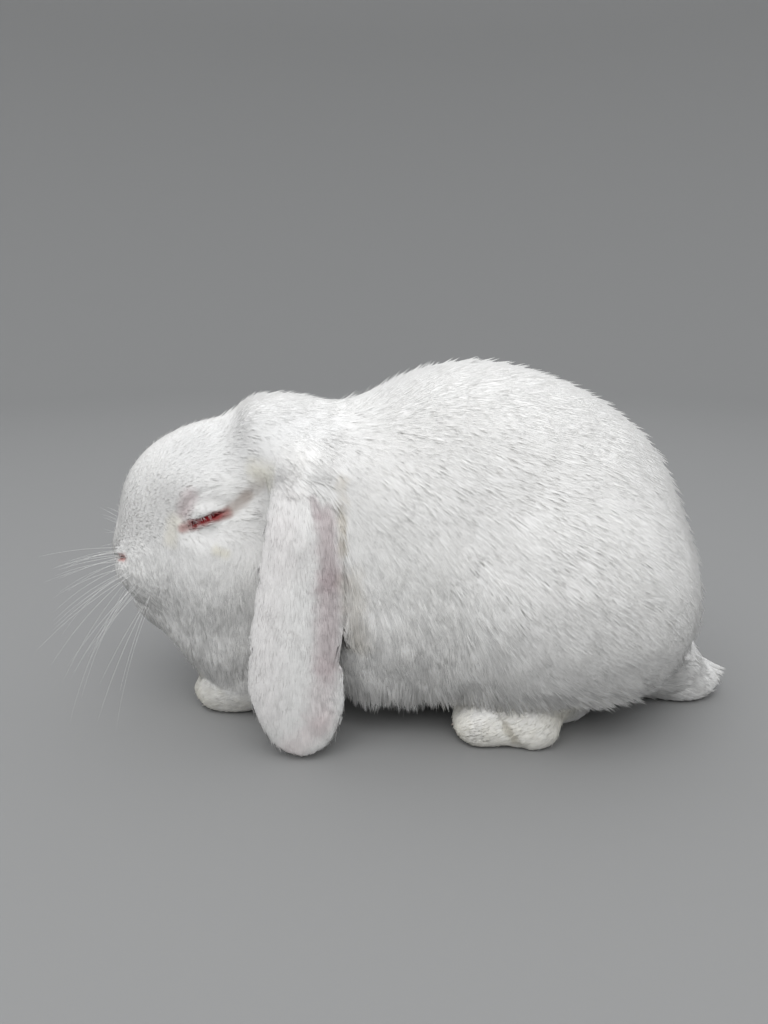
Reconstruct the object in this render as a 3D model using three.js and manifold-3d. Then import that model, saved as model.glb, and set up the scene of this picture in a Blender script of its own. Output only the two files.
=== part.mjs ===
// A white lop-eared rabbit of a dwarf breed, life size, crouched with its head low and eyes nearly shut.
// The body is one smooth form of rounded masses, polygonised and then parted by thin cuts into the pieces
// that a person would name. Its surface is where the tips of the coat lie.
// Millimetres. +Z is up, the nose points to -Y and the rabbit's left is +X. The feet rest on z = 0.

import * as THREE from "three";
import { mergeVertices } from "three/addons/utils/BufferGeometryUtils.js";
import Module from "manifold-3d";

const wasm = await Module();
wasm.setup();

// ---------------------------------------------------------------- driving dimensions

const BACK_HEIGHT = 155; // floor to the top of the back
const CROWN_HEIGHT = 140; // floor to the crown
const HAUNCH_HALF_WIDTH = 66;
const CHEEK_HALF_WIDTH = 38;
const SHOULDER_HALF_WIDTH = 45.5;
const GAP = 0.5; // clear space between neighbouring pieces
const FLOOR_CUT = 2.2; // how much of each sole is sliced off, which makes its flat

const FACET = { head: 6.7, neck: 12.5, body: 14, foot: 6.2, tail: 8.5 }; // sizes of the faces

const EYE_RADIUS = 8.3;
const EYE_CENTRE = [23.6, -88, 94.2];
const EYE_AXIS = [0.965, -0.2, 0.17]; // the way the eye looks
const LID_GAP = { length: 17.5, height: 2.8, slope: 20 }; // the slit between the lids, in mm and degrees

const EAR = {
  thickness: 4.6,
  rootHalfWidth: 14,
  fullHalfWidth: 19.7,
  cup: 0.22, // how far the margins turn in, as a share of the half width
  groove: 2.6, // depth of the long hollow in front of the rear margin
  lengthSteps: 15,
  widthSteps: 6,
};

const CLAW = { length: 8, radius: 1.3, droop: 30, rings: 2, sides: 5, shown: 2.9 };

const SIDES = { left: 1, right: -1 };

// ---------------------------------------------------------------- the rounded masses

// One ellipsoid: its centre, its three radii, and its pitch about X in degrees (positive lifts the front).
function mass(centre, radii, pitch = 0) {
  const turn = THREE.MathUtils.degToRad(pitch);
  return { centre, radii, sine: Math.sin(turn), cosine: Math.cos(turn) };
}

// The same mass on both sides, the second one mirrored.
function pair(centre, radii, pitch = 0) {
  return [mass(centre, radii, pitch), mass(mirrored(centre, -1), radii, pitch)];
}

function mirrored(vector, side) {
  return [vector[0] * side, vector[1], vector[2]];
}

const cranium = [
  mass([0, -83, 96], [29.5, 41, 34.5]),
  mass([0, -103.5, 84.5], [23.5, 29.5, 36]), // forehead and bridge of the nose
  ...pair([17, -88, 103], [13, 22, 12], -12), // brows over the eyes
  ...pair([21.5, -88, 94], [11.5, 13.5, 11.5]), // the eyes under their lids
];

const muzzle = [
  ...pair([8.5, -115.5, 65.5], [13.5, 18.5, 16.5]), // whisker pads
  mass([0, -112.8, 50], [14, 18, 16]), // chin
  mass([0, -129.6, 71.5], [7, 8.6, 10]), // tip of the nose
];

const jaw = [
  ...pair([CHEEK_HALF_WIDTH - 19, -80, 71], [18, 28, 27]), // cheeks
  mass([0, -90, 62], [22, 30, 23]),
];

const crown = [
  mass([0, -57.5, 116], [33, 25.5, CROWN_HEIGHT - 115.5]),
  mass([0, -70, 126.5], [26, 11, CROWN_HEIGHT - 127]), // its step over the forehead
  ...pair([30, -47, 112], [17.5, 15.5, 18]), // roots of the ears
];

const nape = [mass([0, -40, 92], [38, 34, 40]), mass([0, -66, 58], [30, 31, 34])];

const chest = [
  mass([0, -26, 74], [SHOULDER_HALF_WIDTH - 3, 44, 55]),
  mass([0, -75.5, 39], [33, 38, 34]), // breast, over the forepaws
  ...pair([SHOULDER_HALF_WIDTH - 24, -20, 62], [24, 36, 48]), // shoulders
];

const back = [
  mass([0, 22.5, BACK_HEIGHT - 72], [54, 73.5, 72]),
  mass([0, 64.5, 69], [56, 51.5, 63.5]), // rump
  mass([0, 86.5, 46], [46, 35.8, 38]), // seat, over the tail
  mass([0, 22, 54], [55, 72, 46]), // belly
];

const haunches = pair([36, 58, 62], [HAUNCH_HALF_WIDTH - 36, 50, 43], -6);

const tail = [mass([0, 107, 17.5], [20.5, 24, 16], 26), mass([0, 123.5, 5.8], [16, 20, 10.5], 16)];

// Toe by toe, from the inner one out: sideways place, where its tip reaches forward to, and half width.
const HIND_TOES = [
  { x: 30, tip: 17, width: 6.5 },
  { x: 37.3, tip: 11.5, width: 7.5 },
  { x: 44.2, tip: 13.5, width: 8.8 },
  { x: 47.2, tip: 33.5, width: 7.4, clawAside: 6.3 },
];
const FORE_TOES = [
  { x: 5.8, tip: -99, width: 4.9, clawAside: -1.6 },
  { x: 9.4, tip: -103, width: 5.2 },
  { x: 14, tip: -102.5, width: 5.2 },
  { x: 18.2, tip: -98.5, width: 5, clawAside: 1 },
];
const HIND_TOE = { reach: 12.5, height: 9.6 };
const FORE_TOE = { reach: 11, height: 9.4 };

function toes(side, places, toe) {
  return places.map(({ x, tip, width }) =>
    mass([x * side, tip + toe.reach, toe.height - FLOOR_CUT], [width, toe.reach, toe.height]),
  );
}

function instep(side) {
  return [
    mass([38 * side, 39, 12.5 - FLOOR_CUT], [13, 22.5, 12.5], 2),
    mass([25 * side, 60, 13 - FLOOR_CUT], [11, 18, 13]), // heel
  ];
}

function forearm(side) {
  return [
    mass([12.5 * side, -84, 10.5 - FLOOR_CUT], [11.5, 18, 10.5]), // wrist
    mass([17 * side, -66, 22], [12.5, 30, 18], 20),
  ];
}

// ---------------------------------------------------------------- distances: negative inside a form

function ellipsoidDistance(m, [px, py, pz]) {
  const x = px - m.centre[0];
  const dy = py - m.centre[1];
  const dz = pz - m.centre[2];
  const y = dy * m.cosine + dz * m.sine;
  const z = dz * m.cosine - dy * m.sine;
  const [a, b, c] = m.radii;
  const scaled = Math.hypot(x / a, y / b, z / c);
  const slope = Math.hypot(x / (a * a), y / (b * b), z / (c * c));
  return slope > 0 ? (scaled * (scaled - 1)) / slope : -Math.min(a, b, c);
}

// The smaller of two distances, with the crease between them filled over a width.
function blend(a, b, width) {
  const share = Math.max(width - Math.abs(a - b), 0) / width;
  return Math.min(a, b) - (share * share * width) / 4;
}

function joined(masses, width, p) {
  return masses.reduce((found, m) => blend(found, ellipsoidDistance(m, p), width), Infinity);
}

function bodyDistance(p) {
  const face = blend(joined(cranium, 7, p), joined(muzzle, 5, p), 9);
  const head = blend(blend(face, joined(jaw, 12, p), 10), joined(crown, 6, p), 6);
  const trunk = blend(joined(chest, 16, p), joined(back, 24, p), 22);
  const seated = blend(trunk, joined(haunches, 1, p), 16);
  return blend(blend(head, joined(nape, 12, p), 9), seated, 12);
}

const tailDistance = (p) => joined(tail, 6, p);

function hindFootDistance(side) {
  const parts = [instep(side), toes(side, HIND_TOES, HIND_TOE)];
  return (p) => blend(joined(parts[0], 8, p), joined(parts[1], 1.8, p), 3.5);
}

function forelegDistance(side) {
  const parts = [forearm(side), toes(side, FORE_TOES, FORE_TOE)];
  return (p) => blend(joined(parts[0], 8, p), joined(parts[1], 1.6, p), 3);
}

// ---------------------------------------------------------------- from a distance to a closed mesh

const CORNERS = [0, 1].flatMap((i) => [0, 1].flatMap((j) => [0, 1].map((k) => [i, j, k])));
const CELL_EDGES = CORNERS.flatMap((from) =>
  [0, 1, 2].filter((axis) => from[axis] === 0).map((axis) => ({ from, to: stepped(from, axis) })),
);

function stepped(corner, axis) {
  return corner.map((v, i) => (i === axis ? v + 1 : v));
}

// Moves a point onto the surface, along the slope of its distance.
function settle(point, distance) {
  const REACH = 0.05;
  const PASSES = 4;
  for (let pass = 0; pass < PASSES; pass++) {
    const here = distance(point.toArray());
    const slope = [0, 1, 2].map((axis) => {
      const near = point.toArray();
      near[axis] += REACH;
      return (distance(near) - here) / REACH;
    });
    const up = new THREE.Vector3(...slope);
    point.addScaledVector(up, -here / Math.max(up.lengthSq(), 0.2));
  }
  return point;
}

// Surface nets: a vertex in each cell that the surface crosses, and a quad round each crossed edge.
function polygonise(distance, [low, high], facet) {
  const count = low.map((v, i) => Math.ceil((high[i] - v) / facet) + 1);
  const start = low.map((v, i) => (v + high[i] - (count[i] - 1) * facet) / 2); // centred in the box
  const at = ([i, j, k]) => (i * count[1] + j) * count[2] + k;
  const place = (cell) => cell.map((v, i) => start[i] + v * facet);
  const closed = (p) => {
    const inside = Math.min(...p.map((v, i) => Math.min(v - low[i], high[i] - v)));
    return Math.max(distance(p), facet * 1.2 - inside);
  };
  const cells = [];
  for (let i = 0; i < count[0]; i++)
    for (let j = 0; j < count[1]; j++) for (let k = 0; k < count[2]; k++) cells.push([i, j, k]);
  const values = cells.map((cell) => closed(place(cell)));

  const vertexOf = new Map();
  const positions = [];
  for (const cell of cells) {
    if (cell.some((v, i) => v === count[i] - 1)) continue;
    const sum = new THREE.Vector3();
    let crossings = 0;
    for (const { from, to } of CELL_EDGES) {
      const [near, far] = [from, to].map((corner) => cell.map((v, i) => v + corner[i]));
      const [a, b] = [values[at(near)], values[at(far)]];
      if (a < 0 === b < 0) continue;
      sum.add(new THREE.Vector3(...place(near)).lerp(new THREE.Vector3(...place(far)), a / (a - b)));
      crossings++;
    }
    if (!crossings) continue;
    vertexOf.set(at(cell), positions.length / 3);
    positions.push(...settle(sum.divideScalar(crossings), closed).toArray());
  }

  const span = (a, b) => Math.hypot(...[0, 1, 2].map((i) => positions[3 * a + i] - positions[3 * b + i]));
  const faces = [];
  for (const cell of cells) {
    if (cell.some((v, i) => v === 0 || v === count[i] - 1)) continue;
    for (let axis = 0; axis < 3; axis++) {
      const isInside = values[at(cell)] < 0;
      if (isInside === values[at(stepped(cell, axis))] < 0) continue;
      const [u, v] = [(axis + 1) % 3, (axis + 2) % 3];
      const around = [[0, 0], [1, 0], [1, 1], [0, 1]].map(([du, dv]) => {
        const other = [...cell];
        other[u] -= du;
        other[v] -= dv;
        return vertexOf.get(at(other));
      });
      const [a, b, c, d] = isInside ? around : around.reverse();
      faces.push(...(span(a, c) <= span(b, d) ? [a, b, c, a, c, d] : [b, c, d, b, d, a]));
    }
  }
  return indexed(positions, faces);
}

function indexed(positions, faces) {
  return new THREE.BufferGeometry()
    .setAttribute("position", new THREE.Float32BufferAttribute(positions, 3))
    .setIndex(faces);
}

// ---------------------------------------------------------------- joining and cutting

function solid(geometry) {
  const bare = geometry.clone();
  bare.deleteAttribute("normal");
  bare.deleteAttribute("uv");
  const merged = mergeVertices(bare, 1e-4);
  return new wasm.Manifold(
    new wasm.Mesh({
      numProp: 3,
      vertProperties: new Float32Array(merged.attributes.position.array),
      triVerts: new Uint32Array(merged.index.array),
    }),
  );
}

function geometryOf(made) {
  const mesh = made.getMesh();
  const positions = [];
  for (let i = 0; i < mesh.numVert; i++)
    positions.push(...mesh.vertProperties.subarray(i * mesh.numProp, i * mesh.numProp + 3));
  const flat = indexed(positions, [...mesh.triVerts]).toNonIndexed();
  flat.computeVertexNormals();
  return flat;
}

function largestPiece(made) {
  return made.decompose().sort((a, b) => b.volume() - a.volume())[0];
}

function union(solids) {
  return solids.reduce((a, b) => a.add(b));
}

const WORLD = 700; // larger than the rabbit, for half spaces

// All that lies on the side of a plane that its normal points away from, less some room.
function behind(at, normal, room = GAP / 2) {
  const half = new THREE.BoxGeometry(WORLD, WORLD, WORLD);
  half.translate(0, 0, -WORLD / 2 - room);
  const facing = new THREE.Vector3(...normal).normalize();
  half.applyQuaternion(new THREE.Quaternion().setFromUnitVectors(new THREE.Vector3(0, 0, 1), facing));
  half.translate(...at);
  return solid(half);
}

const aboveFloor = behind([0, 0, 0], [0, 0, -1], 0);

// ---------------------------------------------------------------- where the pieces part

const NAPE_CUT = { at: [0, -41, 135], normal: [0, 0.95, -0.32] }; // head from neck
const SHOULDER_CUT = { at: [0, -20, 135], normal: [0, 0.94, -0.34] }; // neck from trunk
const THROAT_CUT = { at: [0, -100, 36], normal: [0, 0.2, -0.98] }; // head and neck from breast
const THIGH = { at: [42, 62, 58], radii: [33, 45, 42], pitch: -8 };

function frontOf(cut, room = GAP / 2) {
  return behind(cut.at, cut.normal, room);
}

function backOf(cut, room = GAP / 2) {
  return behind(cut.at, cut.normal.map((v) => -v), room);
}

function thighRegion(side, grown = 0) {
  const ball = new THREE.IcosahedronGeometry(1, 3);
  ball.scale(...THIGH.radii.map((r) => r + grown));
  ball.rotateX(THREE.MathUtils.degToRad(-THIGH.pitch));
  ball.translate(...mirrored(THIGH.at, side));
  return solid(ball);
}

// The whole body without its limbs, ears and tail. Grown by a gap, it trims whatever it rests on.
function body([low, high], facet, grown = 0) {
  return solid(polygonise((p) => bodyDistance(p) - grown, [low, high], facet)).intersect(aboveFloor);
}

const BODY_BOX = [[-84, -150, -20], [84, 152, 178]];
const grownBody = body(BODY_BOX, FACET.body, GAP);

// The limbs and the tail are forms of their own, up to where they meet the body.
function limb(distance, [low, high], facet, side = 1, grown = 0) {
  const box = side > 0 ? [low, high] : [[-high[0], low[1], low[2]], [-low[0], high[1], high[2]]];
  const whole = solid(polygonise((p) => distance(p) - grown, box, facet)).intersect(aboveFloor);
  return largestPiece(whole.subtract(grownBody));
}

// ---------------------------------------------------------------- ears

// A closed skin over rings of points, each end drawn in to its middle.
function loft(rings) {
  const sides = rings[0].length;
  const positions = rings.flat().flatMap((p) => p.toArray());
  const faces = [];
  for (let r = 0; r < rings.length - 1; r++)
    for (let s = 0; s < sides; s++) {
      const [a, b] = [r * sides + s, r * sides + ((s + 1) % sides)];
      faces.push(a, b, b + sides, a, b + sides, a + sides);
    }
  for (const [ring, isFirst] of [[0, true], [rings.length - 1, false]]) {
    const middle = new THREE.Vector3();
    rings[ring].forEach((p) => middle.addScaledVector(p, 1 / sides));
    const end = positions.length / 3;
    positions.push(...middle.toArray());
    for (let s = 0; s < sides; s++) {
      const [a, b] = [ring * sides + s, ring * sides + ((s + 1) % sides)];
      faces.push(...(isFirst ? [b, a, end] : [a, b, end]));
    }
  }
  return indexed(positions, faces);
}

// From inside the crown, out over the cheek, then straight down to just above the floor.
const EAR_LINE = [
  [24, -46, 116],
  [36, -46, 115],
  [45, -46.5, 107],
  [50.5, -47.5, 92],
  [54.5, -49.2, 69],
  [57, -50.8, 44],
  [57.6, -50.8, 22],
  [56.6, -49.2, 1.4],
];
const earLine = new THREE.CatmullRomCurve3(
  EAR_LINE.map((p) => new THREE.Vector3(...p)),
  false,
  "centripetal",
);

// Half the ear's width in front of its middle or, at the fuller rear margin, behind it.
function earHalfWidth(t, isRear) {
  const TIP_START = 0.72;
  const fullness = isRear ? 3 : 2.2;
  const swell = THREE.MathUtils.smoothstep(t, 0.1, 0.78);
  const past = Math.max(t - TIP_START, 0) / (1 - TIP_START);
  const rounded = Math.max(1 - past ** fullness, 1e-4) ** (1 / fullness);
  return THREE.MathUtils.lerp(EAR.rootHalfWidth, EAR.fullHalfWidth, swell) * rounded;
}

function earRing(t, side, grown) {
  const at = earLine.getPointAt(t);
  const along = earLine.getTangentAt(t);
  const front = new THREE.Vector3(0, -1, 0.04);
  const across = front.addScaledVector(along, -front.dot(along)).normalize();
  const out = new THREE.Vector3().crossVectors(across, along).normalize();
  const thickness = EAR.thickness * THREE.MathUtils.lerp(1.25, 0.85, t);
  const grooveHere = EAR.groove * Math.sin(Math.PI * Math.min(t * 1.15, 1));
  const ring = [];
  const place = (share, face) => {
    const half = earHalfWidth(t, share < 0) + grown;
    const groove = grooveHere * Math.exp(-(((share + 0.52) / 0.22) ** 2));
    const cup = EAR.cup * half * (share * share * THREE.MathUtils.lerp(1.5, 1, t) - 1 / 3);
    const thick = (thickness / 2) * Math.sqrt(Math.max(1 - share ** 4, 0.02)) + grown;
    const p = at.clone().addScaledVector(across, half * share);
    p.addScaledVector(out, face * thick - cup - groove);
    ring.push(new THREE.Vector3(p.x * side, p.y, p.z));
  };
  for (let i = 0; i <= EAR.widthSteps; i++) place(1 - (2 * i) / EAR.widthSteps, 1);
  for (let i = 0; i <= EAR.widthSteps; i++) place((2 * i) / EAR.widthSteps - 1, -1);
  return side > 0 ? ring.reverse() : ring;
}

function earForm(side, grown = 0) {
  const rings = [];
  for (let i = 0; i <= EAR.lengthSteps; i++) {
    const t = 1 - (1 - i / EAR.lengthSteps) ** 1.25; // closer together towards the rounded tip
    rings.push(earRing(t, side, grown));
  }
  return solid(loft(rings));
}

// ---------------------------------------------------------------- eyes and the slits between their lids

function eyeBall(side, grown = 0) {
  const ball = new THREE.SphereGeometry(EYE_RADIUS + grown, 11, 8);
  ball.translate(...mirrored(EYE_CENTRE, side));
  return solid(ball);
}

function lidSlit(side) {
  const [halfLength, height] = [LID_GAP.length / 2, LID_GAP.height];
  const almond = new THREE.Shape()
    .moveTo(-halfLength, 0)
    .quadraticCurveTo(0, -height, halfLength, 0)
    .quadraticCurveTo(0, height, -halfLength, 0);
  const wedge = new THREE.ExtrudeGeometry(almond, {
    depth: EYE_RADIUS * 2.2,
    bevelEnabled: false,
    curveSegments: 6,
  });
  const out = new THREE.Vector3(...mirrored(EYE_AXIS, side)).normalize();
  const slope = THREE.MathUtils.degToRad(LID_GAP.slope);
  const rear = new THREE.Vector3(0, Math.cos(slope), Math.sin(slope));
  rear.addScaledVector(out, -rear.dot(out)).normalize();
  const up = new THREE.Vector3().crossVectors(out, rear);
  wedge.applyMatrix4(new THREE.Matrix4().makeBasis(rear, up, out));
  wedge.translate(...mirrored(EYE_CENTRE, side));
  return solid(wedge);
}

// ---------------------------------------------------------------- claws

// A short curved claw, from inside the toe forward and down.
function clawForm([x, y, z], side) {
  const rings = [];
  for (let i = 0; i <= CLAW.rings; i++) {
    const t = i / CLAW.rings;
    const droop = THREE.MathUtils.degToRad(CLAW.droop * t);
    const radius = CLAW.radius * Math.sqrt(1 - t * 0.9);
    const length = CLAW.length * t;
    const middle = new THREE.Vector3(x, y - length * Math.cos(droop / 2), z - length * Math.sin(droop / 2));
    const ring = [];
    for (let s = 0; s < CLAW.sides; s++) {
      const turn = (2 * Math.PI * s) / CLAW.sides;
      const across = middle.x + radius * Math.sin(turn);
      const upward = radius * Math.cos(turn);
      ring.push(new THREE.Vector3(across * side, middle.y - upward * Math.sin(droop), middle.z + upward));
    }
    rings.push(side > 0 ? ring.reverse() : ring);
  }
  return solid(loft(rings));
}

function clawRoots(places, lift) {
  return places.map(({ x, tip, clawAside = 0 }) => [x + clawAside, tip + CLAW.length - CLAW.shown, lift]);
}
const HIND_CLAWS = clawRoots(HIND_TOES, 5.6);
const FORE_CLAWS = clawRoots(FORE_TOES, 5.4);

// ---------------------------------------------------------------- materials

function material(name, color, roughness = 0.95) {
  return new THREE.MeshStandardMaterial({ name, color, roughness, metalness: 0 });
}
const whiteCoat = material("white_coat", 0xf1efeb);
const earCoat = material("ear_coat", 0xeadfda);
const footCoat = material("foot_coat", 0xefeadb);
const rubyEye = material("ruby_eye", 0x8e2630, 0.15);
const clawHorn = material("claw_horn", 0xd9c3b4, 0.45);

// ---------------------------------------------------------------- the pieces

const rabbit = new THREE.Group();

function add(name, made, surface) {
  const mesh = new THREE.Mesh(geometryOf(made), surface);
  mesh.name = name;
  rabbit.add(mesh);
}

const bothSides = (make) => union(Object.values(SIDES).map((side) => make(side, GAP)));

function buildHead() {
  let made = body([[-58, -150, 18], [58, -14, 156]], FACET.head)
    .intersect(frontOf(NAPE_CUT))
    .intersect(frontOf(THROAT_CUT))
    .subtract(bothSides(earForm))
    .subtract(bothSides(eyeBall));
  for (const side of Object.values(SIDES)) made = made.subtract(lidSlit(side));
  add("head", largestPiece(made), whiteCoat);
}

function buildNeck() {
  const made = body([[-72, -128, 8], [72, 36, 162]], FACET.neck)
    .intersect(backOf(NAPE_CUT))
    .intersect(frontOf(SHOULDER_CUT))
    .intersect(frontOf(THROAT_CUT))
    .subtract(bothSides(earForm));
  add("neck", largestPiece(made), whiteCoat);
}

function buildTrunk() {
  const headAndNeck = frontOf(SHOULDER_CUT, -GAP / 2).intersect(frontOf(THROAT_CUT, -GAP / 2));
  const whole = body(BODY_BOX, FACET.body);
  const parted = whole.subtract(headAndNeck).subtract(bothSides(thighRegion));
  add("trunk", largestPiece(parted.subtract(bothSides(earForm))), whiteCoat);
  for (const [name, side] of Object.entries(SIDES)) {
    add(`thigh_${name}`, largestPiece(whole.intersect(thighRegion(side))), whiteCoat);
  }
}

function buildFeet(kind, distance, box, roots) {
  for (const [name, side] of Object.entries(SIDES)) {
    const grownFoot = limb(distance(side), box, FACET.foot, side, GAP);
    roots.forEach((root, i) => {
      add(`${kind}_claw_${name}_${i + 1}`, largestPiece(clawForm(root, side).subtract(grownFoot)), clawHorn);
    });
    add(`${kind}_${name}`, limb(distance(side), box, FACET.foot, side), footCoat);
  }
}

function buildEarsAndEyes() {
  for (const [name, side] of Object.entries(SIDES)) {
    add(`ear_${name}`, earForm(side), earCoat);
    add(`eye_${name}`, eyeBall(side), rubyEye);
  }
}

buildHead();
buildNeck();
buildTrunk();
buildFeet("hind_foot", hindFootDistance, [[8, -8, -12], [66, 102, 42]], HIND_CLAWS);
buildFeet("foreleg", forelegDistance, [[-8, -118, -12], [40, -24, 54]], FORE_CLAWS);
buildEarsAndEyes();
add("tail", limb(tailDistance, [[-32, 76, -14], [32, 158, 48]], FACET.tail), whiteCoat);

// The origin is under the middle of the rabbit, on the floor.
const bounds = new THREE.Box3().setFromObject(rabbit);
const middle = bounds.getCenter(new THREE.Vector3());
rabbit.position.set(-middle.x, -middle.y, -bounds.min.z);

export default rabbit;
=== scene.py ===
import math

import bmesh
import bpy
import numpy as np
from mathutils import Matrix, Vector
from mathutils.bvhtree import BVHTree
from mathutils.kdtree import KDTree


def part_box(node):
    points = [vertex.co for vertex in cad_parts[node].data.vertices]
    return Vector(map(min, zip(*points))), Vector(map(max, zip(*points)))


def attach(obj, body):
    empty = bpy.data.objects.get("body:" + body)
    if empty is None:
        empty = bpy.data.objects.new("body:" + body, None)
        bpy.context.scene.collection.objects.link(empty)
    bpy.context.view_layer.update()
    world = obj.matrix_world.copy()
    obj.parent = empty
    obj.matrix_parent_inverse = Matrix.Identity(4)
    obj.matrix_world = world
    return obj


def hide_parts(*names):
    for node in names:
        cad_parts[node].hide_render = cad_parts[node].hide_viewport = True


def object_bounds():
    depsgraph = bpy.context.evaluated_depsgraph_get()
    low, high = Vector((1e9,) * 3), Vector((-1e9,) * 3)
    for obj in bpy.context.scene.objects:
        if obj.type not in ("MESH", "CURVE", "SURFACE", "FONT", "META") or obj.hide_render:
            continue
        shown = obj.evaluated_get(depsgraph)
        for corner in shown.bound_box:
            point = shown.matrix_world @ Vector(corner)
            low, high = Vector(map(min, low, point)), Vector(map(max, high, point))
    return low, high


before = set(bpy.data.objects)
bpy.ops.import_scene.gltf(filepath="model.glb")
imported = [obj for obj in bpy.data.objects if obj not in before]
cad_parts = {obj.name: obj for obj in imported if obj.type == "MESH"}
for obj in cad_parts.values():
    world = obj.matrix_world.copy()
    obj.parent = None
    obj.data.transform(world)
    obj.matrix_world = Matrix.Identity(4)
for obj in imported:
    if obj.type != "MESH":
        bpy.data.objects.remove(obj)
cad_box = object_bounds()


# --- Camera ---------------------------------------------------------------------------------
# A hand-held camera low on the rabbit's left side, looking a little down on it, so that the
# rabbit faces left and stands square to the view.

CAMERA_PLACE = (0.340, -0.0187, 0.190)
CAMERA_DIP = math.radians(16.7)
SENSOR_WIDTH, LENS = 36, 28.125

camera_data = bpy.data.cameras.new("camera")
camera_data.sensor_width = SENSOR_WIDTH
camera_data.lens = LENS
camera_data.clip_start = 0.01
camera = bpy.data.objects.new("camera", camera_data)
camera.location = CAMERA_PLACE
camera.rotation_euler = (math.pi / 2 - CAMERA_DIP, 0, math.pi / 2)
bpy.context.collection.objects.link(camera)
bpy.context.scene.camera = camera


# --- Skin -----------------------------------------------------------------------------------
# One closed skin over the whole animal, made from the solids of its flesh fused together.
# It lies under the solids' surface by the depth of the coat, which is deepest on the trunk.
# Lengths from here on are in millimetres, in the frame's own axes: nose -Y, up +Z, left +X.

MM = 0.001
SIDES = {"left": 1, "right": -1}
EARS = [f"ear_{side}" for side in SIDES]
FEET = [f"{part}_{side}" for part in ("foreleg", "hind_foot") for side in SIDES]
FLESH = ["head", "neck", "trunk", "tail", *[f"thigh_{side}" for side in SIDES], *FEET, *EARS]
EYES = [f"eye_{side}" for side in SIDES]
SKIN_CELL = 1.6


def numbers_of(items, field, width, kind=float):
    """One property of all of a mesh's points, edges or faces, as a table of this width."""
    values = np.empty(len(items) * width, kind)
    items.foreach_get(field, values)
    return values.reshape(-1, width)


def shape_of(nodes):
    """Corner points and triangles of some CAD nodes, as two arrays."""
    points, triangles, count = [], [], 0
    for name in nodes:
        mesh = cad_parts[name].data
        mesh.calc_loop_triangles()
        points.append(numbers_of(mesh.vertices, "co", 3) / MM)
        triangles.append(numbers_of(mesh.loop_triangles, "vertices", 3, np.int32) + count)
        count += len(mesh.vertices)
    return np.concatenate(points), np.concatenate(triangles)


def mesh_from(name, points, faces):
    """A Blender mesh from points in millimetres and faces that all have as many corners."""
    mesh = bpy.data.meshes.new(name)
    mesh.vertices.add(len(points))
    mesh.vertices.foreach_set("co", (points * MM).astype(np.float32).ravel())
    mesh.loops.add(faces.size)
    mesh.loops.foreach_set("vertex_index", faces.astype(np.int32).ravel())
    mesh.polygons.add(len(faces))
    mesh.polygons.foreach_set("loop_start", np.arange(0, faces.size, faces.shape[1], dtype=np.int32))
    mesh.polygons.foreach_set("use_smooth", np.full(len(faces), True))
    mesh.update(calc_edges=True)
    return mesh


def place(name, mesh, material):
    """Puts a finished mesh in the scene as a piece of the rabbit."""
    piece = bpy.data.objects.new(name, mesh)
    mesh.materials.append(material)
    bpy.context.collection.objects.link(piece)
    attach(piece, "root")
    return piece


def fused(nodes, cell):
    """The solids of some nodes grown together into one even mesh with cells of this size."""
    lump = bpy.data.objects.new("lump", mesh_from("lump", *shape_of(nodes)))
    bpy.context.collection.objects.link(lump)
    remesh = lump.modifiers.new("remesh", "REMESH")
    remesh.mode = "VOXEL"
    remesh.voxel_size = cell * MM
    grown = lump.evaluated_get(bpy.context.evaluated_depsgraph_get())
    mesh = bpy.data.meshes.new_from_object(grown)
    bpy.data.objects.remove(lump)
    return mesh


# Each round of finer cells reaches this share of the one before it.
REFINED_SHARE = 0.75


def refined(mesh, places, rounds):
    """The mesh with its cells halved near each (point, reach) pair, each round less far out."""
    bm = bmesh.new()
    bm.from_mesh(mesh)
    for step in range(rounds):
        near, share = set(), REFINED_SHARE ** step
        for face in bm.faces:
            middle = face.calc_center_median() / MM
            if any((middle - Vector(point)).length < reach * share for point, reach in places):
                near.update(face.edges)
        bmesh.ops.subdivide_edges(bm, edges=list(near), cuts=1, use_grid_fill=True)
    bmesh.ops.triangulate(bm, faces=bm.faces)
    bm.to_mesh(mesh)
    bm.free()
    return mesh


eye_low, eye_high = (np.array(corner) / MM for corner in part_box("eye_left"))
EYE_CENTRE = (eye_low + eye_high) / 2
EYE_RADIUS = (eye_high - eye_low)[2] / 2
NOSE_TIP = np.array([0, cad_box[0].y / MM, 71.0])

# The cells are finer this far round each eye and the nose.
EYE_DETAIL, NOSE_DETAIL = 17, 21
detail = [(EYE_CENTRE * (side, 1, 1) + (8 * side, 0, 0), EYE_DETAIL) for side in SIDES.values()]
detail.append((NOSE_TIP + (0, 6, -6), NOSE_DETAIL))
skin_mesh = refined(fused(FLESH + EYES, SKIN_CELL), detail, 2)

skin = numbers_of(skin_mesh.vertices, "co", 3) / MM
skin_triangles = numbers_of(skin_mesh.polygons, "vertices", 3, np.int32)
skin_edges = numbers_of(skin_mesh.edges, "vertices", 2, np.int32)
skin_edges = np.concatenate([skin_edges, skin_edges[:, ::-1]])
neighbours = np.bincount(skin_edges[:, 0], minlength=len(skin))


def relaxed(values, amount, rounds):
    """Values at the skin's points, each drawn again and again towards its neighbours' mean."""
    flat = values.reshape(len(values), -1).copy()
    amount = np.broadcast_to(amount, len(values))[:, None]
    for _ in range(rounds):
        mean = np.stack([
            np.bincount(skin_edges[:, 0], column[skin_edges[:, 1]], len(values))
            for column in flat.T
        ], 1) / neighbours[:, None]
        flat += (mean - flat) * amount
    return flat.reshape(values.shape)


def unit(vectors):
    """The vectors drawn out or in to a length of 1."""
    return vectors / np.maximum(np.linalg.norm(vectors, axis=-1, keepdims=True), 1e-9)


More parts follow.
